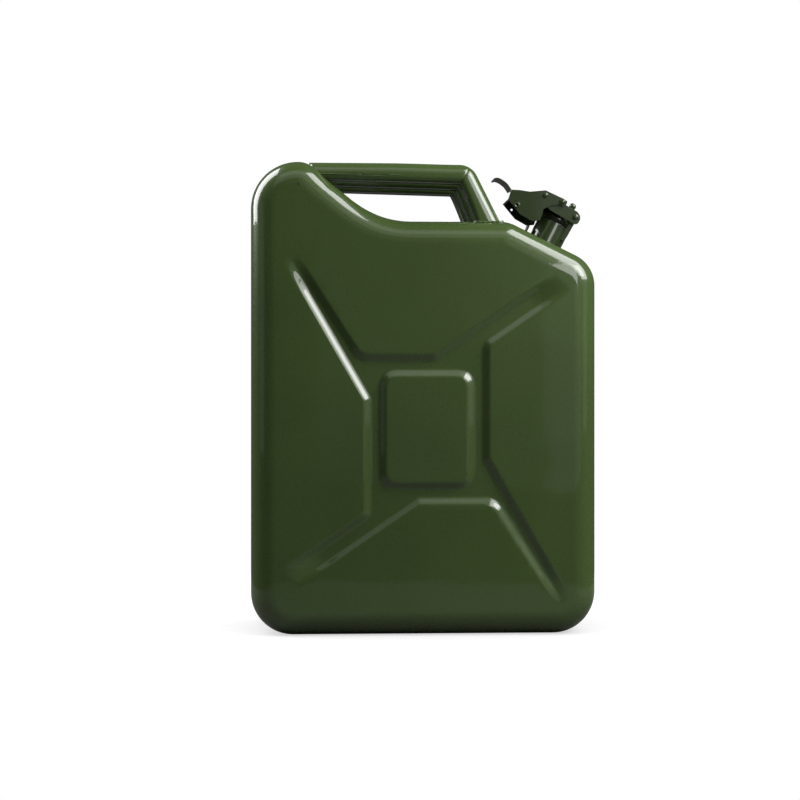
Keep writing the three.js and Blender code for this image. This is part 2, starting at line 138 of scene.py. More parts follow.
def even(points, step, closed=True):
    """The same line with points at an even spacing."""
    loop = np.vstack([points, points[:1]]) if closed else np.asarray(points, float)
    lengths = np.linalg.norm(np.diff(loop, axis=0), axis=1)
    keep = np.concatenate([[True], lengths > 1e-6])
    loop = loop[keep]
    along = np.concatenate([[0], np.cumsum(np.linalg.norm(np.diff(loop, axis=0), axis=1))])
    count = max(int(round(along[-1] / step)), 2)
    places = np.linspace(0, along[-1], count + 1)
    if closed:
        places = places[:-1]
    return np.column_stack([np.interp(places, along, loop[:, i]) for i in range(loop.shape[1])])


def can_outline(step=3.0):
    right = HALF_WIDTH
    start_z = shoulder_height(SHOULDER_START)
    crest = SHOULDER_START - (SADDLE_Z - start_z) / math.tan(SHOULDER_SLOPE)
    turn = 90 - math.degrees(SHOULDER_SLOPE)
    top_x = -right + TOP_CORNER
    runs = [
        arc(right - BASE_CORNER, BASE_CORNER, BASE_CORNER, -90, 0),
        arc(right - SHOULDER_CORNER, SHOULDER_CORNER_Z, SHOULDER_CORNER, 0, turn),
        bezier([(SHOULDER_START, start_z), (crest, SADDLE_Z), (2 * crest - SHOULDER_START, SADDLE_Z)]),
        bezier([(-12, SADDLE_Z), (-52, SADDLE_Z), (-71.5, 432.6), (-92, 448.5)]),
        bezier([(-92, 448.5), (-103, 457), (-110, HEIGHT), (top_x, HEIGHT)]),
        arc(top_x, HEIGHT - TOP_CORNER, TOP_CORNER, 90, 180),
        arc(-right + BASE_CORNER, BASE_CORNER, BASE_CORNER, 180, 270),
    ]
    return even(np.vstack(runs), step)


def rounded(corners, steps=8):
    """A closed line through (x, z, radius) corners, each rounded by its radius."""
    points = []
    count = len(corners)
    for i, (x, z, radius) in enumerate(corners):
        here = np.array([x, z], float)
        before = np.array(corners[i - 1][:2], float) - here
        after = np.array(corners[(i + 1) % count][:2], float) - here
        before_len, after_len = np.linalg.norm(before), np.linalg.norm(after)
        half = 0.5 * math.acos(np.clip(before @ after / before_len / after_len, -1, 1))
        reach = min(radius / math.tan(half), 0.49 * before_len, 0.49 * after_len)
        a = here + before / before_len * reach
        b = here + after / after_len * reach
        points.append(bezier([a, here, b], steps))
    return np.vstack(points)


def inset(points, distance):
    """A counter-clockwise closed line moved inwards."""
    before = points - np.roll(points, 1, axis=0)
    after = np.roll(points, -1, axis=0) - points
    before /= np.linalg.norm(before, axis=1)[:, None]
    after /= np.linalg.norm(after, axis=1)[:, None]
    tangent = before + after
    tangent /= np.linalg.norm(tangent, axis=1)[:, None]
    return points + distance * np.column_stack([-tangent[:, 1], tangent[:, 0]])


def signed_distance(points, loop):
    """Distance from each point to a closed line: positive inside it."""
    best = np.full(len(points), 1e9)
    inside = np.zeros(len(points), bool)
    for a, b in zip(loop, np.roll(loop, -1, axis=0)):
        edge = b - a
        rel = points - a
        t = np.clip(rel @ edge / max(edge @ edge, 1e-12), 0, 1)
        gap = rel - t[:, None] * edge
        best = np.minimum(best, np.einsum("ij,ij->i", gap, gap))
        crosses = (a[1] > points[:, 1]) != (b[1] > points[:, 1])
        if abs(edge[1]) > 1e-12:
            at_x = a[0] + (points[:, 1] - a[1]) * edge[0] / edge[1]
            inside ^= crosses & (points[:, 0] < at_x)
    return np.where(inside, 1, -1) * np.sqrt(best)


# ---- the pressed cross in each broad face ----

def cross_outline():
    half = [
        (-58.6, 29, 7), (-140, 170, 3), (-130.3, 170, 3), (-66.6, 70.7, 20),
        (8, 70.7, 7), (127, 151.7, 3), (140, 139.8, 3), (58.6, 84.2, 11),
    ]
    turned = [(-x, -z, radius) for x, z, radius in half]
    return rounded(half + turned)


def plateau_outline():
    return rounded([(43.8, -55.6, 15), (43.8, 55.6, 15), (-43.8, 55.6, 15), (-43.8, -55.6, 15)])


def wall(distance):
    """0 outside the wall, 1 past it, with small fillets at its top and foot."""
    def area(u):
        u = np.maximum(u, 0)
        return np.where(u < WALL_WIDTH, u * u / (2 * WALL_WIDTH), u - WALL_WIDTH / 2)
    u = distance + WALL_WIDTH / 2
    return (area(u + WALL_FILLET) - area(u - WALL_FILLET)) / (2 * WALL_FILLET)


def smooth(t):
    t = np.clip(t, 0, 1)
    return t * t * (3 - 2 * t)


def along_arm(rel):
    """How far out along its arm each point is: 0 at the centre of the cross, 1 at the tip."""
    tip = np.where(rel[:, 0] * rel[:, 1] < 0, LONG_ARM, SHORT_ARM)
    return np.linalg.norm(rel, axis=1) / tip


def recess(points):
    """How deep the cross is pressed in at each (x, z); it runs out over the last fifth of an arm."""
    rel = points - PATTERN
    into = signed_distance(rel, cross_outline())
    out_of_plateau = -signed_distance(rel, plateau_outline())
    fade = smooth((1 - along_arm(rel)) / 0.2)
    return RECESS_DEPTH * wall(into) * wall(out_of_plateau) * fade


# ---- mesh helpers ----

def link(name, data):
    obj = bpy.data.objects.new(name, data)
    bpy.context.scene.collection.objects.link(obj)
    return obj


def add_object(name, vertices, faces, smooth_faces=True):
    """A mesh object from points in millimetres."""
    mesh = bpy.data.meshes.new(name)
    mesh.from_pydata([tuple(v) for v in np.asarray(vertices, float) * MM], [], faces)
    mesh.validate()
    mesh.update()
    if smooth_faces:
        mesh.polygons.foreach_set("use_smooth", [True] * len(mesh.polygons))
    return link(name, mesh)


@contextmanager
def editing(obj):
    """Opens the object's mesh for edits and writes it back."""
    mesh = bmesh.new()
    mesh.from_mesh(obj.data)
    yield mesh
    mesh.to_mesh(obj.data)
    mesh.free()


def baked(obj):
    """Applies the object's modifiers to its mesh."""
    graph = bpy.context.evaluated_depsgraph_get()
    mesh = bpy.data.meshes.new_from_object(obj.evaluated_get(graph))
    obj.modifiers.clear()
    obj.data = mesh
    return obj


def soften(obj, width, segments=3):
    """Rounds the sharp edges of a piece and shades it smooth."""
    obj.data.polygons.foreach_set("use_smooth", [True] * len(obj.data.polygons))
    bevel = obj.modifiers.new("edges", "BEVEL")
    bevel.width = width * MM
    bevel.segments = segments
    bevel.limit_method = "ANGLE"
    bevel.angle_limit = math.radians(28)
    bevel.harden_normals = True
    return obj


def carve(obj, cutters, operation="DIFFERENCE"):
    for cutter in cutters:
        cut = obj.modifiers.new("cut", "BOOLEAN")
        cut.operation = operation
        cut.solver = "EXACT"
        cut.object = cutter
        baked(obj)
        bpy.data.objects.remove(cutter)
    return obj


def stacked(rings, closed_ends=False):
    """The faces between rings of equal length."""
    count = len(rings[0])
    faces = []
    for r in range(len(rings) - 1):
        for i in range(count):
            j = (i + 1) % count
            base = r * count
            faces.append((base + i, base + j, base + count + j, base + count + i))
    if closed_ends:
        faces.append(tuple(reversed(range(count))))
        last = (len(rings) - 1) * count
        faces.append(tuple(last + i for i in range(count)))
    return faces


def lathe(name, profile, segments=72):
    """A turned piece about +Z from (radius, z) points; points on the axis close it."""
    angles = np.linspace(0, 2 * math.pi, segments, endpoint=False)
    mesh = bmesh.new()
    columns = []
    for radius, z in profile:
        if radius < 1e-6:
            vertex = mesh.verts.new((0, 0, z * MM))
            columns.append([vertex] * segments)
        else:
            circle = [(radius * MM * math.cos(a), radius * MM * math.sin(a), z * MM) for a in angles]
            columns.append([mesh.verts.new(point) for point in circle])
    closes = profile[0] == profile[-1]
    if closes:
        for vertex in set(columns[-1]):
            mesh.verts.remove(vertex)
        columns[-1] = columns[0]
    for low, high in zip(columns, columns[1:]):
        for i in range(segments):
            j = (i + 1) % segments
            ring = []
            for vertex in (low[i], low[j], high[j], high[i]):
                if vertex not in ring:
                    ring.append(vertex)
            if len(ring) > 2:
                mesh.faces.new(ring)
    bmesh.ops.recalc_face_normals(mesh, faces=mesh.faces)
    data = bpy.data.meshes.new(name)
    mesh.to_mesh(data)
    mesh.free()
    return link(name, data)


def prism(name, outline, low, high):
    """An (x, z) outline extruded along Y from low to high."""
    points = np.asarray(outline, float)
    after = np.roll(points, -1, axis=0)
    if np.sum(points[:, 0] * after[:, 1] - after[:, 0] * points[:, 1]) < 0:
        points = points[::-1]
    rings = [np.column_stack([points[:, 0], np.full(len(points), y), points[:, 1]]) for y in (low, high)]
    vertices = np.vstack(rings)
    count = len(points)
    faces = [tuple(range(count)), tuple(reversed(range(count, 2 * count)))]
    for i in range(count):
        j = (i + 1) % count
        faces.append((j, i, count + i, count + j))
    return add_object(name, vertices, faces, smooth_faces=False)


def rod(name, radius, low, high, centre):
    """A round bar along Y at (x, z)."""
    return prism(name, arc(*centre, radius, 0, 360, 40)[:-1], low, high)


def post(name, radius, low, high):
    """A round bar about Z."""
    return lathe(name, [(0, low), (radius, low), (radius, high), (0, high)], 64)


def block(name, low, high):
    x0, y0, z0 = low
    x1, y1, z1 = high
    return prism(name, [(x0, z0), (x1, z0), (x1, z1), (x0, z1)], y0, y1)


NECK = (Matrix.Translation(Vector((NECK_X, 0, shoulder_height(NECK_X) - NECK_DROP)) * MM)
        @ Matrix.Rotation(NECK_TILT, 4, "Y") @ Matrix.Scale(NECK_SCALE, 4))


def at_neck(obj):
    """Moves a piece made about the neck's own axes to its place."""
    obj.data.transform(NECK)
    return obj


def paint(obj, material):
    obj.data.materials.clear()
    obj.data.materials.append(material)


def place(obj, node, body, material):
    """Puts a piece on a body, in the stead of a frame node where one is named."""
    paint(obj, material)
    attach(obj, body)
    if node:
        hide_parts(node)


# ---- materials ----

def new_material(name):
    material = bpy.data.materials.new(name)
    material.use_nodes = True
    nodes = material.node_tree.nodes
    return material, nodes, material.node_tree.links, nodes["Principled BSDF"]


def noise(nodes, links, scale, detail=3.0):
    texture = nodes.new("ShaderNodeTexNoise")
    texture.inputs["Scale"].default_value = scale
    texture.inputs["Detail"].default_value = detail
    links.new(nodes.new("ShaderNodeTexCoord").outputs["Object"], texture.inputs["Vector"])
    return texture.outputs["Fac"]


def ramp(nodes, links, factor, low, high, low_at=0.35, high_at=0.65):
    node = nodes.new("ShaderNodeValToRGB")
    node.color_ramp.elements[0].position = low_at
    node.color_ramp.elements[1].position = high_at
    node.color_ramp.elements[0].color = (*low, 1)
    node.color_ramp.elements[1].color = (*high, 1)
    links.new(factor, node.inputs["Fac"])
    return node.outputs["Color"]


def bumps(nodes, links, layers):
    """Chains bump layers of (height output, strength, distance)."""
    normal = None
    for height, strength, distance in layers:
        node = nodes.new("ShaderNodeBump")
        node.inputs["Strength"].default_value = strength
        node.inputs["Distance"].default_value = distance
        links.new(height, node.inputs["Height"])
        if normal is not None:
            links.new(normal, node.inputs["Normal"])
        normal = node.outputs["Normal"]
    return normal


def grey(value):
    return (value, value, value)


def enamel(name, depth):
    """Glossy stoved enamel; a lower depth is a darker green."""
    material, nodes, links, shader = new_material(name)
    dark = (0.042 * depth, 0.070 * depth, 0.0185 * depth)
    light = (0.050 * depth, 0.083 * depth, 0.0220 * depth)
    broad = noise(nodes, links, 7.0, 2.0)
    colour = ramp(nodes, links, broad, dark, light, 0.3, 0.7)
    links.new(colour, shader.inputs["Base Color"])
    specks = noise(nodes, links, 240.0, 4.0)
    rough = ramp(nodes, links, specks, grey(0.26), grey(0.32))
    links.new(rough, shader.inputs["Roughness"])
    peel = noise(nodes, links, 420.0, 2.0)
    sheet = noise(nodes, links, 11.0, 1.0)
    normal = bumps(nodes, links, [(sheet, 0.2, 0.002), (peel, 0.03, 0.0003)])
    links.new(normal, shader.inputs["Normal"])
    links.new(normal, shader.inputs["Coat Normal"])
    shader.inputs["Coat Weight"].default_value = 1.0
    shader.inputs["Coat Roughness"].default_value = 0.03
    shader.inputs["Specular IOR Level"].default_value = 0.15
    return material


def plated():
    material, nodes, links, shader = new_material("plated_steel")
    patches = noise(nodes, links, 180.0, 5.0)
    colour = ramp(nodes, links, patches, (0.30, 0.31, 0.28), (0.52, 0.53, 0.49))
    links.new(colour, shader.inputs["Base Color"])
    rough = ramp(nodes, links, patches, grey(0.28), grey(0.48))
    links.new(rough, shader.inputs["Roughness"])
    scratches = noise(nodes, links, 900.0)
    links.new(bumps(nodes, links, [(scratches, 0.15, 0.0002)]), shader.inputs["Normal"])
    shader.inputs["Metallic"].default_value = 1.0
    return material


def gasket():
    material, nodes, links, shader = new_material("gasket_rubber")
    grain = noise(nodes, links, 1200.0, 4.0)
    links.new(ramp(nodes, links, grain, grey(0.010), grey(0.022)), shader.inputs["Base Color"])
    links.new(ramp(nodes, links, grain, grey(0.55), grey(0.75)), shader.inputs["Roughness"])
    links.new(bumps(nodes, links, [(grain, 0.3, 0.0002)]), shader.inputs["Normal"])
    return material


PAINT = enamel("olive_enamel", 1.0)
CLOSURE_PAINT = enamel("closure_enamel", 0.42)
STEEL = plated()
RUBBER = gasket()


# ---- the two shells ----

def edge_profile():
    """From the seam to the broad face: (inset from the outline, distance from the middle plane)."""
    gutter = [(GUTTER_DEPTH, SEAM_GAP), (GUTTER_DEPTH, 2.5)]
    foot = bezier([(GUTTER_DEPTH, 3.5), (GUTTER_DEPTH, 6.2), (GUTTER_DEPTH - 2.6, 7.2)], 5)
    lip = bezier([(2.6, 8.0), (0, 9.2), (0, 13.0)], 6)
    flat_start = HALF_DEPTH - EDGE_RADIUS
    side = [(0, y) for y in np.linspace(13, flat_start, 6)[1:-1]]
    angles = np.radians(np.linspace(0, 90, 17))
    across = EDGE_RADIUS * (1 - np.cos(angles))
    corner = zip(across, flat_start + EDGE_RADIUS * np.sin(angles))
    return [*gutter, *map(tuple, foot), *map(tuple, lip), *side, *corner, (FACE_RIM, HALF_DEPTH)]


def face_points(rim):
    """Points inside the flat face, closer together where the cross bends."""
    low, high = rim.min(0), rim.max(0)
    reach = WALL_WIDTH / 2 + WALL_FILLET + 1.2
    groups = []
    for step, bent in ((6.0, False), (1.4, True)):
        xs = np.arange(low[0], high[0], step)
        zs = np.arange(low[1], high[1], step * 0.866)
        grid = np.array([(x + (row % 2) * step / 2, z) for row, z in enumerate(zs) for x in xs])
        grid = grid[signed_distance(grid, rim) > 1.5]
        rel = grid - PATTERN
        into = signed_distance(rel, cross_outline())
        near = np.abs(into) < reach
        near |= np.abs(signed_distance(rel, plateau_outline())) < reach
        near |= (into > 0) & (along_arm(rel) > 0.75)
        groups.append(grid[near == bent])
    return np.vstack(groups)


def shell(name, side):
    """One half of the can; side is -1 for the front and 1 for the rear."""
    outline = can_outline()
    rings = []
    for across, out in edge_profile():
        flat = inset(outline, across)
        rings.append(np.column_stack([flat[:, 0], np.full(len(flat), side * out), flat[:, 1]]))
    vertices = np.vstack(rings)
    faces = stacked(rings)

    # The broad face: triangles inside its rim, then pressed in by the depth of the cross.
    count = len(outline)
    rim = inset(outline, FACE_RIM)
    flat = [Vector(p) for p in np.vstack([rim, face_points(rim)])]
    edges = [(i, (i + 1) % count) for i in range(count)]
    points, _, triangles, originals, _, _ = delaunay_2d_cdt(flat, edges, [], 1, 1e-5)
    rim_start = len(vertices) - count
    lookup = {}
    extra = []
    for i, point in enumerate(points):
        source = [o for o in originals[i] if o < count]
        if source:
            lookup[i] = rim_start + source[0]
        else:
            lookup[i] = len(vertices) + len(extra)
            extra.append((point[0], side * HALF_DEPTH, point[1]))
    vertices = np.vstack([vertices, np.array(extra)])
    faces += [tuple(lookup[i] for i in triangle) for triangle in triangles]
    pressed = np.arange(len(vertices)) >= rim_start
    vertices[pressed, 1] -= side * recess(vertices[pressed][:, [0, 2]])

    # The hole under the neck.
    neck = np.array([tuple(NECK.inverted() @ Vector(v * MM)) for v in vertices]) / MM
    in_neck = (np.hypot(neck[:, 0], neck[:, 1]) < NECK_R + 0.3) & (neck[:, 2] > -30)
    faces = [f for f in faces if not any(in_neck[i] for i in f)]
    if side > 0:
        faces = [tuple(reversed(f)) for f in faces]
    obj = add_object(name, vertices, faces)
    with editing(obj) as mesh:
        loose = [v for v in mesh.verts if not v.link_faces]
        bmesh.ops.delete(mesh, geom=loose, context="VERTS")
    skin = obj.modifiers.new("sheet", "SOLIDIFY")
    skin.thickness = SHEET * MM
    skin.offset = -1
    return obj


place(shell("front_half", -1), "front_shell", "root", PAINT)
place(shell("rear_half", 1), "rear_shell", "root", PAINT)


def seam_bead():
    """The weld that joins the halves along the floor of the gutter."""
    path = inset(can_outline(4.0), GUTTER_DEPTH - 0.5)
    count = len(path)
    sides = 12
    rng = np.random.default_rng(4)
    bead = 1.5 + 0.18 * np.sin(np.arange(count) * 2.1) + 0.1 * rng.standard_normal(count)
    normal = inset(path, -1.0) - path
    rings = []
    for angle in np.linspace(0, 2 * math.pi, sides, endpoint=False):
        offset = normal * (bead * math.cos(angle) * 0.7)[:, None]
        side = bead * math.sin(angle) * 1.5
        rings.append(np.column_stack([path[:, 0] + offset[:, 0], side, path[:, 1] + offset[:, 1]]))
    faces = []
    for r in range(sides):
        a = r * count
        b = (r + 1) % sides * count
        for i in range(count):
            j = (i + 1) % count
            faces.append((a + i, a + j, b + j, b + i))
    obj = add_object("seam_weld", np.vstack(rings), faces)
    neck = NECK.inverted()
    room = (NECK_R + 1.0) * MM
    with editing(obj) as mesh:
        inside = [v for v in mesh.verts if (neck @ v.co).xy.length < room and v.co.z > 0.3]
        bmesh.ops.delete(mesh, geom=inside, context="VERTS")
        bmesh.ops.recalc_face_normals(mesh, faces=mesh.faces)
    return obj


place(seam_bead(), None, "root", PAINT)


# ---- handles: folded channels bent about their inner corner ----

# BEND is the inner corner at (x, z). CREASE and LEG_TILT are directions out of it, in degrees
# above the horizontal.
BEND = np.array([36.5, 449.4])
CREASE = 57.0
LEG_TILT = 26.8
LEG_DEPTH = 19.4
LEG_FLARE = 5.2
HANDLE_HALF = 13.5
HANDLE_SHEET = 1.8
HANDLE_SPACING = 52
LIP_RADIUS = 4.4
CHEEK_RADIUS = 11.6


def handle_stations():
    """Outer web point, inward direction, depth and width change along a handle."""
    stations = []
    for x in np.linspace(-114, 31, 26):
        top = HEIGHT - 1.2 * smooth((x + 35) / 75)
        bottom = BEND[1] + (BEND[0] - x) * 0.024
        stations.append((np.array([x, top]), np.array([0.0, -1.0]), top - bottom, 0))
    fold = [CREASE + step for step in (3, 1.2, 0, -1.2, -3)]
    for angle in [90, 84, 78, 72, 66, *fold, 48, 42, 36, 30]:
        away = np.array([math.cos(math.radians(angle)), math.sin(math.radians(angle))])
        pinch = -0.9 * max(0, 1 - abs(angle - CREASE) / 2)
        stations.append((BEND + LEG_DEPTH * away, -away, LEG_DEPTH, pinch))
    away = np.array([math.cos(math.radians(LEG_TILT)), math.sin(math.radians(LEG_TILT))])
    down = np.array([away[1], -away[0]])
    for along in np.linspace(0, 56, 15):
        depth = LEG_DEPTH + LEG_FLARE * (along / 52) ** 1.6
        stations.append((BEND + LEG_DEPTH * away + along * down, -away, depth, 0))
    return stations


def ribbon(line, thickness):
    """A closed strip round an open (u, v) line."""
    tangent = np.gradient(line, axis=0)
    tangent /= np.linalg.norm(tangent, axis=1)[:, None]
    normal = np.column_stack([-tangent[:, 1], tangent[:, 0]]) * thickness / 2
    return np.vstack([line + normal, (line - normal)[::-1]])


def channel_section(depth, half):
    """The folded section: a web, two cheeks and two lips rolled inwards."""
    edge = HANDLE_SHEET / 2
    side = half - edge
    low = -depth + edge
    corners = [
        [(0.8 + edge, low), (side - LIP_RADIUS, low)],
        arc(side - LIP_RADIUS, low + LIP_RADIUS, LIP_RADIUS, -90, 0, 8),
        [(side, low + LIP_RADIUS + 0.4), (side, -edge - CHEEK_RADIUS - 0.9)],
        arc(side - CHEEK_RADIUS, -edge - CHEEK_RADIUS, CHEEK_RADIUS, 0, 90, 12),
    ]
    right = np.vstack(corners)
    left = right[::-1] * [-1, 1]
    return ribbon(np.vstack([right, [(0, -edge)], left]), HANDLE_SHEET)


def handle(name, offset):
    rings = []
    for point, inward, depth, pinch in handle_stations():
        section = channel_section(depth, HANDLE_HALF + pinch)
        away = -inward
        rings.append(np.column_stack([
            point[0] + section[:, 1] * away[0],
            offset + section[:, 0],
            point[1] + section[:, 1] * away[1],
        ]))
    obj = add_object(name, np.vstack(rings), stacked(rings, closed_ends=True))
    with editing(obj) as mesh:
        bmesh.ops.recalc_face_normals(mesh, faces=mesh.faces)
    return obj


def bead_round(name, loop, seed, radius=1.5):
    """A lumpy weld bead along a closed loop of points."""
    rng = np.random.default_rng(seed)
    path = even(np.array(loop, float), 1.6)
    curve = bpy.data.curves.new(name, "CURVE")
    curve.dimensions = "3D"
    curve.bevel_depth = radius * MM
    curve.bevel_resolution = 3
    spline = curve.splines.new("POLY")
    spline.points.add(len(path) - 1)
    spline.use_cyclic_u = True
    for i, (point, target) in enumerate(zip(path, spline.points)):
        target.co = (*(point * MM), 1)
        target.radius = 1 + 0.16 * math.sin(i * 2.2) + 0.08 * rng.standard_normal()
    line = link(name, curve)
    graph = bpy.context.evaluated_depsgraph_get()
    data = bpy.data.meshes.new_from_object(line.evaluated_get(graph))
    bpy.data.objects.remove(line)
    data.polygons.foreach_set("use_smooth", [True] * len(data.polygons))
    return link(name, data)


def edge_drop(y):
    """How far the can's top falls away near its broad faces."""
    past = max(0, abs(y) - (HALF_DEPTH - EDGE_RADIUS))
    return EDGE_RADIUS - math.sqrt(EDGE_RADIUS ** 2 - past ** 2)


def foot_loop(offset):
    """Round the foot of a handle's leg, on the saddle."""
    corners = [(52.5, -13.8), (79, -13.8), (79, 13.8), (52.5, 13.8)]
    loop = rounded([(x, y, 4) for x, y in corners], 5)
    return [(x, offset + y, SADDLE_Z + 0.2 - edge_drop(offset + y)) for x, y in loop]


for index, name in enumerate(("front", "middle", "rear")):
    offset = (index - 1) * HANDLE_SPACING
    place(handle(f"{name}_handle", offset), f"handle_{name}", "root", PAINT)
    weld = bead_round(f"{name}_foot_weld", foot_loop(offset), 10 + index)
    place(weld, None, "root", PAINT)


# ---- neck and closure, in the neck's own axes ----

def fit(obj, node, body):
    """Puts a painted piece of the closure in its place."""
    place(at_neck(obj), node, body, CLOSURE_PAINT)


def neck_parts():
    tube = lathe("filler_neck", [
        (NECK_BORE, -14), (NECK_R, -14), (NECK_R, 33.2), (18.4, 33.9), (17.9, 34.3), (17.6, 34.2),
        (NECK_BORE, 33.4), (NECK_BORE, -14)])
    fit(soften(tube, 0.15, 2), "neck_tube", "root")
    sheet = rounded([(-28, 5.5, 0.3), (26, 5.5, 0.3), (26, 7.2, 0.3), (-28, 7.2, 0.3)], 2)
    plate = prism("neck_plate", sheet, -26, 26)
    plugs = [block("plug", (s, -9.6, -4), (s + 5, 9.6, 6.5)) for s in (-27.5, 20.5)]
    carve(plate, plugs, "UNION")
    carve(plate, [post("bore", NECK_R + 0.1, -20, 20)])
    fit(soften(plate, 0.5), "neck_saddle", "root")
    ring = [NECK @ Vector((x * MM, y * MM, 7.4 * MM)) / MM for x, y in arc(0, 0, 18.9, 0, 360, 90)[:-1]]
    place(bead_round("neck_weld", ring, 31, 1.1), None, "root", CLOSURE_PAINT)


def catch_part():
    """A thin spring leaf on the handle side of the neck."""
    leaf_line = np.array([(-19, 8.3), (-22.4, 8.3), (-24.0, 8.6), (-24.4, 10), (-24.4, 17.6), (-24.9, 19.1)])
    leaf = prism("catch_leaf", ribbon(even(leaf_line, 0.8, closed=False), 1.8), -9, 9)
    fit(soften(leaf, 0.3, 2), "latch_catch", "root")


def bracket_part():
    """Two ears on the outer side of the neck and the barrel between them."""
    corners = [
        (11, 20), (17, 20), (17.8, 26), (18.6, 44), (HINGE[0] + 1, HINGE[1] + 3.2),
        (HINGE[0] - 3.3, HINGE[1]), (13.4, 43.5), (13.8, 41), (11, 33)]
    arm = rounded([(s, n, 1) for s, n in corners], 4)
    ears = [prism("bracket", arm, low, low + 2) for low in (-BRACKET_HALF, BRACKET_HALF - 2)]
    barrel = rod("barrel", 3.3, 0.1 - BRACKET_HALF, BRACKET_HALF - 0.1, HINGE)
    bracket = carve(ears[0], [ears[1], barrel], "UNION")
    carve(bracket, [
        post("seat", NECK_R + 0.1, 0, 34.5),
        post("lid_room", LID_R + 0.6, 32.5, 43.5),
        rod("eye", 2.1, -20, 20, HINGE),
    ])
    bracket.name = "neck_hinge_bracket"
    fit(soften(bracket, 0.3, 2), "hinge_bracket", "root")


def crosswise(obj, turn, centre):
    """Turns a lathed piece from Z to Y and moves it to (along, up) on the closure."""
    shift = Matrix.Translation(Vector((centre[0], 0, centre[1])) * MM)
    obj.data.transform(shift @ Matrix.Rotation(math.radians(turn), 4, "X"))
    return soften(obj, 0.1, 1)


def domed_pin(name, radius, half, head, centre):
    """A pin with a domed head at each end."""
    profile = [(0, -half - 1.5), (head * 0.6, -half - 1.35), (head * 0.92, -half - 0.8),
               (head, -half - 0.1), (head * 0.96, -half), (radius, -half)]
    mirrored = [(r, -z) for r, z in reversed(profile)]
    return crosswise(lathe(name, profile + mirrored, 40), 90, centre)


def domed_stud(name, radius, inner, outer, head, centre, side):
    """A short stud with one domed head, on the front side (-1) or the rear (1)."""
    profile = [(0, inner), (radius, inner), (radius, outer), (head * 0.96, outer), (head, outer + 0.15),
               (head * 0.9, outer + 0.8), (head * 0.55, outer + 1.3), (0, outer + 1.45)]
    return crosswise(lathe(name, profile, 40), -90 * side, centre)


def carrier_part():
    """The frame that holds the lid, hinged at its outer end."""
    cheek = rounded([
        (-18.4, 45, 0.8), (-17, 43.5, 0.8), (-12.6, 41.8, 1), (18.4, 40.6, 1.5), (20.6, 42, 2),
        (21.3, 45, 3), (21.1, 48.2, 3), (19.4, 51.4, 3), (15, 54, 3), (-1.4, 54.9, 0.5),
        (-18.4, 54.9, 0.5)], 4)
    body = prism("lid_frame", cheek, -CARRIER_HALF, CARRIER_HALF)
    inner = CARRIER_HALF - 1.5
    carve(body, [rod("boss", 4.1, -CARRIER_HALF, CARRIER_HALF, PIVOT)], "UNION")
    carve(body, [
        block("hollow", (-30, -inner, 30), (30, inner, 53.1)),
        block("front_open", (12.5, -inner, 30), (30, inner, 70)),
        block("boss_gap", (-10, -inner, 54.9), (1, inner, 70)),
        rod("pin_hole", 2.1, -40, 40, HINGE),
        rod("stud_hole", 2.2, -40, 40, PIVOT),
    ])
    fit(soften(body, 0.45), "lid_carrier", "carrier")
    knob = lathe("lid_frame_knob", [
        (0, 51.8), (4.2, 51.8), (4.4, 52.1), (4.4, 52.8), (2, 52.8), (2, 55.1), (4.3, 55.1),
        (4.4, 55.5), (4.1, 56.0), (2.4, 56.3), (2.5, 57.2), (3.4, 58.4), (3.8, 59.8), (3.7, 61.3),
        (3.1, 62.7), (1.9, 63.7), (0, 64)], 48)
    knob.data.transform(Matrix.Translation((9.5 * MM, 0, 0)))
    fit(soften(knob, 0.1, 1), "carrier_knob", "carrier")
    for side, name in ((-1, "front"), (1, "rear")):
        inner, outer = CARRIER_HALF - 1.6, LEVER_HALF + 0.15
        stud = domed_stud(f"{name}_pivot_stud", 2, inner, outer, 3.4, PIVOT, side)
        fit(stud, f"lever_stud_{name}", "carrier")


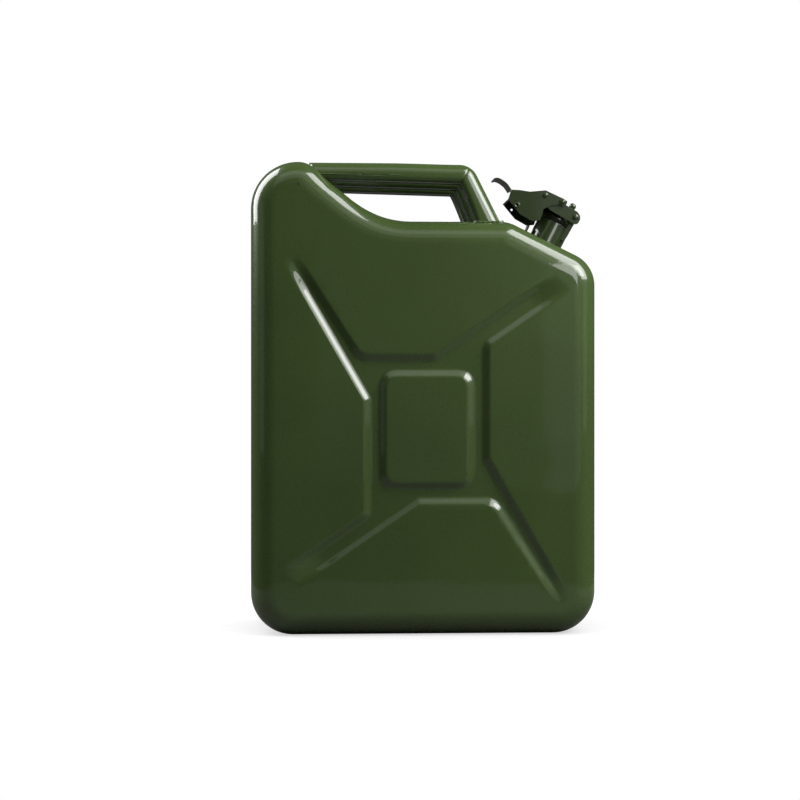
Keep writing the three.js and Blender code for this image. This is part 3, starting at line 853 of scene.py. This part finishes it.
def lever_part():
    """The cam lever: a hood over the carrier with a finger tab."""
    side = [
        (-59, 31), (-39.6, 22.6), (-24.5, 22), (-17.5, 26.5), (-18.5, 34), (-19.8, 39),
        (-13.5, 46.8), (-7.6, 51.4), *[tuple(p) for p in arc(*PIVOT, 5.2, -60, 40, 10)],
        (-2.4, 58.9), (-4.4, 59.4), (-26.8, 58.6), (-41.5, 49.4), (-52, 45.9), (-60.6, 42)]
    hood = prism("cam_lever", side, -LEVER_HALF, LEVER_HALF)
    inner = LEVER_HALF - 1.7
    hollow = [
        (-57.3, 10), (10, 10), (10, 62), (-10.4, 62), (-10.4, 57.5), (-26.3, 56.9), (-40.9, 47.7),
        (-51.4, 44.2), (-58.8, 41), (-57.3, 31)]
    carve(hood, [
        prism("hollow", hollow, -inner, inner),
        rod("stud_hole", 2.15, -40, 40, PIVOT),
        rod("lock_hole", 1.3, -40, 40, EYELET),
    ])
    tab_line = np.array([
        (-59.2, 42.8), (-62.0, 44.4), (-66.6, 47.0), (-72.4, 48.2), (-77.8, 48.3), (-80.4, 47.3),
        (-82.0, 45.2)])
    smooth_tab = even(tab_line, 0.7, closed=False)
    for _ in range(6):
        smooth_tab[1:-1] = (smooth_tab[:-2] + 2 * smooth_tab[1:-1] + smooth_tab[2:]) / 4
    tab = prism("tab", ribbon(smooth_tab, 1.7), -14, 14)
    carve(hood, [tab], "UNION")
    fit(soften(hood, 0.4), "lever", "lever")
    eyelet = [
        (1.35, -1.6), (1.9, -1.6), (1.9, 0.02), (3.0, 0.02), (3.2, 0.4), (2.8, 0.9), (2.1, 1.05),
        (1.35, 0.7), (1.35, -1.6)]
    for sign, name in ((-1, "front"), (1, "rear")):
        outer = LEVER_HALF + 0.05
        rivet = domed_stud(f"{name}_lever_rivet", 1.4, inner - 0.9, outer, 3.1, RIVET, sign)
        fit(rivet, f"lever_rivet_{name}", "lever")
        ring = lathe(f"{name}_lock_eyelet", [(r, LEVER_HALF + z) for r, z in eyelet], 40)
        fit(crosswise(ring, -90 * sign, EYELET), f"lever_eyelet_{name}", "lever")


def lid_parts():
    cup = lathe("lid_cap", [
        (2.7, 36.8), (17.9, 36.8), (18.4, 37.1), (LID_R, 37.6), (LID_R, 40.0), (18.2, 40.9),
        (17.3, 41.5), (9, 41.5), (6.4, 42.0), (5.2, 43.4), (5.0, 45), (5.0, 52.0), (4.7, 52.3),
        (2.7, 52.3), (2.7, 36.8)])
    fit(soften(cup, 0.12, 1), "lid_cup", "lid")
    ring = lathe("neck_gasket", [
        (10.5, 35.3), (10.8, 35), (17.7, 35), (18.1, 35.4), (18.1, 36.2), (17.7, 36.5),
        (10.5, 36.5), (10.5, 35.3)])
    place(at_neck(soften(ring, 0.1, 1)), "lid_gasket", "lid", RUBBER)
    disc = lathe("gasket_plate", [
        (2.7, 34), (8.6, 34), (9.6, 34.3), (10.2, 35.0), (10.2, 36.5), (2.7, 36.5), (2.7, 34)])
    place(at_neck(soften(disc, 0.1, 1)), "gasket_retainer", "lid", STEEL)
    rivet = lathe("lid_centre_rivet", [
        (0, 32.6), (3.2, 32.7), (4.5, 33.2), (4.6, 33.7), (2.4, 33.7), (2.4, 55.4), (4.8, 55.4),
        (4.6, 56.0), (3.2, 56.6), (0, 56.9)], 48)
    place(at_neck(soften(rivet, 0.1, 1)), "lid_rivet", "lid", STEEL)


neck_parts()
catch_part()
bracket_part()
fit(domed_pin("lid_hinge_pin", 1.9, 24.5, 3.2, HINGE), "hinge_pin", "root")
carrier_part()
lever_part()
lid_parts()
# The breather tube is inside the can, so the frame's own mesh stays and only gets a material.
paint(frame["nodes"]["breather_tube"], STEEL)


# ---- floor, light and camera, in metres ----

# The softboxes are aimed at a point on the can's middle line, this far up.
MIDDLE_HEIGHT = 0.24

# The camera stands left of the can's middle and turns right by CAMERA_AIM over CAMERA_AWAY.
CAMERA_X = -0.1248
CAMERA_AWAY = 1.8
CAMERA_HEIGHT = 0.233
CAMERA_AIM = 0.1

# Its picture takes in VIEW_WIDTH at a distance of VIEW_AWAY.
VIEW_WIDTH = 0.8
VIEW_AWAY = 1.83


def floor():
    """A white floor for the camera that throws little light back into the dark paint; near the can its glow
    is dimmed into a painted contact shadow.
    """
    disc = lathe("floor", [(0, -0.001), (620, -0.001)], 128)
    material, nodes, links, shader = new_material("pale_floor")
    grain = noise(nodes, links, 60.0, 3.0)
    links.new(ramp(nodes, links, grain, grey(0.13), grey(0.15)), shader.inputs["Base Color"])
    shader.inputs["Roughness"].default_value = 0.7
    shader.inputs["Specular IOR Level"].default_value = 0.1
    shader.inputs["Emission Color"].default_value = (1, 1, 1, 1)
    # Painted contact shadow: for the camera the floor glows less where ambient occlusion finds the can close
    # by.
    painted_shadow_reach = nodes.new("ShaderNodeAmbientOcclusion")
    painted_shadow_reach.inputs["Distance"].default_value = 0.16
    glow_with_painted_shadow = ramp(nodes, links, painted_shadow_reach.outputs["AO"], grey(0.62), grey(0.95), 0.1, 0.95)
    seen = nodes.new("ShaderNodeMath")
    seen.operation = "MULTIPLY"
    links.new(glow_with_painted_shadow, seen.inputs[1])
    links.new(nodes.new("ShaderNodeLightPath").outputs["Is Camera Ray"], seen.inputs[0])
    links.new(seen.outputs["Value"], shader.inputs["Emission Strength"])
    disc.data.materials.append(material)


def softbox(name, towards, distance, width, height, strength):
    """A rectangular light that faces the can from a direction."""
    light = bpy.data.lights.new(name, "AREA")
    light.shape = "RECTANGLE"
    light.size = width
    light.size_y = height
    light.energy = strength * math.pi * width * height
    obj = link(name, light)
    direction = Vector(towards).normalized()
    obj.location = Vector((0, 0, MIDDLE_HEIGHT)) + direction * distance
    obj.rotation_euler = direction.to_track_quat("Z", "Y").to_euler()
    return obj


def panel(name, span_x, span_z, strength, away=2.5):
    """A weak upright screen that faces the can, seen only in the paint."""
    width, height = span_x[1] - span_x[0], span_z[1] - span_z[0]
    obj = softbox(name, (0, -1, 0), 1, width, height, strength)
    obj.location = (sum(span_x) / 2, cad_low[1] - away, sum(span_z) / 2)
    return obj


def world():
    """White where the camera sees past the can, nearly dark in the paint."""
    sky = bpy.data.worlds.new("studio")
    bpy.context.scene.world = sky
    sky.use_nodes = True
    nodes, links = sky.node_tree.nodes, sky.node_tree.links
    fill = nodes["Background"]
    fill.inputs["Color"].default_value = (1, 1, 1, 1)
    fill.inputs["Strength"].default_value = 0.06
    white = nodes.new("ShaderNodeBackground")
    white.inputs["Strength"].default_value = 1.0
    white.inputs["Color"].default_value = (1, 1, 1, 1)
    rays = nodes.new("ShaderNodeLightPath")
    mix = nodes.new("ShaderNodeMixShader")
    links.new(rays.outputs["Is Camera Ray"], mix.inputs["Fac"])
    links.new(fill.outputs["Background"], mix.inputs[1])
    links.new(white.outputs["Background"], mix.inputs[2])
    links.new(mix.outputs["Shader"], nodes["World Output"].inputs["Surface"])


def camera():
    data = bpy.data.cameras.new("camera")
    data.angle = 2 * math.atan(VIEW_WIDTH / 2 / VIEW_AWAY)
    obj = link("camera", data)
    obj.location = (CAMERA_X, cad_low[1] - CAMERA_AWAY, CAMERA_HEIGHT)
    obj.rotation_euler = (math.radians(90), 0, -math.atan(CAMERA_AIM / CAMERA_AWAY))
    bpy.context.scene.camera = obj


floor()
softbox("key_right", (0.70, -0.30, 0.68), 1.02, 0.50, 0.90, 8)
softbox("key_front", (0.687, -0.449, 0.571), 1.42, 0.62, 0.62, 6)
softbox("rim_left", (-1.0, 0.25, 0.78), 1.29, 0.68, 1.22, 9)
softbox("wall_right", (0.88, -0.42, 0.12), 1.6, 0.6, 0.5, 0.35)
softbox("wall_left", (-0.88, -0.42, 0.12), 1.6, 0.6, 0.6, 0.2)
softbox("ceiling", (0.03, -0.42, 0.88), 1.6, 1.7, 0.6, 0.5)
softbox("front_fill", (-0.1, -1, 1.3), 2.6, 2.8, 1.5, 0.45)
softbox("rear_card", (-0.04, 1, 0.46), 1.2, 0.5, 0.3, 1.2).visible_camera = False
lobe = panel("lobe_right", (0.514, 0.794), (0.404, 1.354), 5, 0.82)
lobe.rotation_euler.rotate_axis("Z", math.radians(-30))
panel("tone_right", (0.46, 2.6), (0.02, 1.6), 0.26)
panel("tone_middle", (-0.08, 0.46), (0.02, 1.6), 0.05)
world()
camera()
bpy.context.scene.view_settings.view_transform = "Standard"
bpy.context.scene.view_settings.look = "None"
